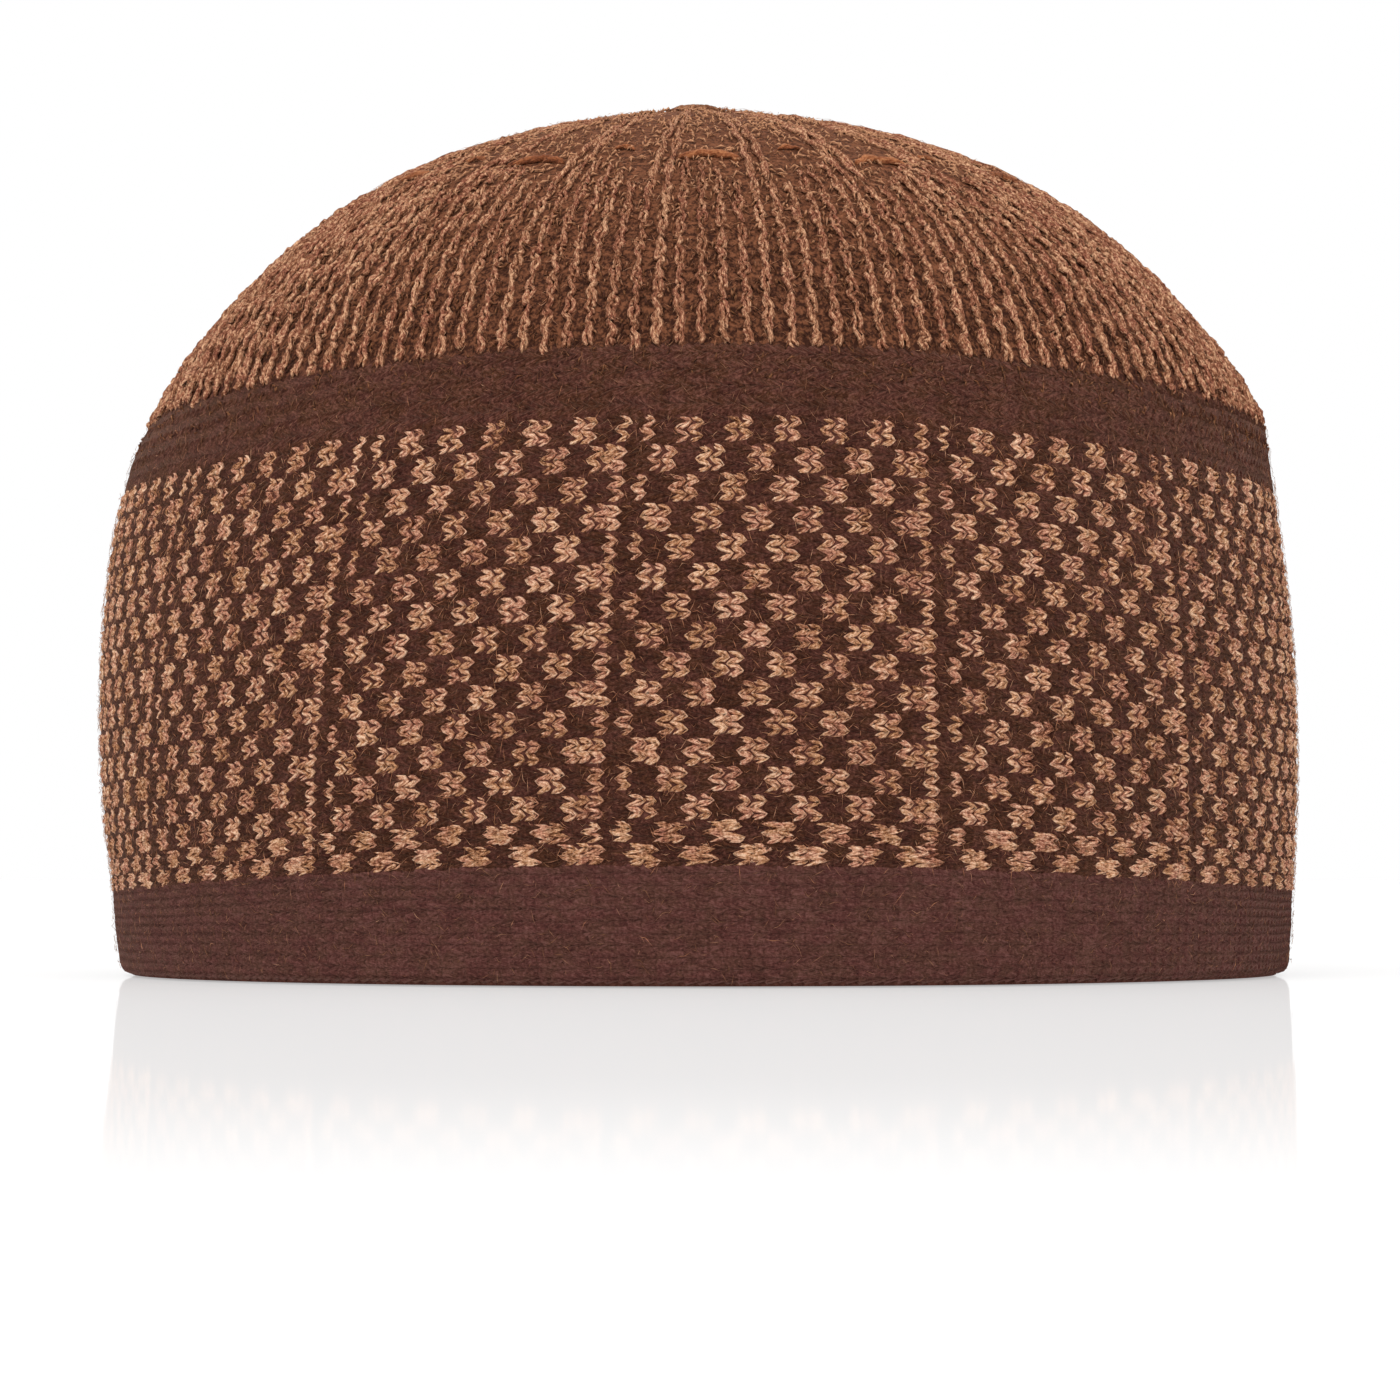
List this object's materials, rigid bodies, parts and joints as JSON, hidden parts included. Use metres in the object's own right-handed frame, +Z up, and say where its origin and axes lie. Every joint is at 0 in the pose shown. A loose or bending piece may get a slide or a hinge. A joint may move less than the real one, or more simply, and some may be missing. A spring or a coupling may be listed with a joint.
{
  "type": "knitted kufi cap",
  "caption": "Round brimless knitted cap: checked wall, striped domed crown gathered to a small nub, and a hem folded inside.",
  "frame": {"origin": "middle of the cap's footprint, on the surface that its hem rests on", "axes": "+Z up through the nub, +X to the right across the widest part, +Y to the back seam, so the front faces -Y"},
  "size_m": [0.186, 0.1806, 0.1365],
  "materials": {
    "yarn_brown": "dark brown knitted wool, matt and slightly hairy",
    "yarn_tan": "heathered tan knitted wool, matt and slightly hairy"
  },
  "bodies": {
    "root": {"knitted_cap": "yarn_brown"}
  },
  "joints": []
}
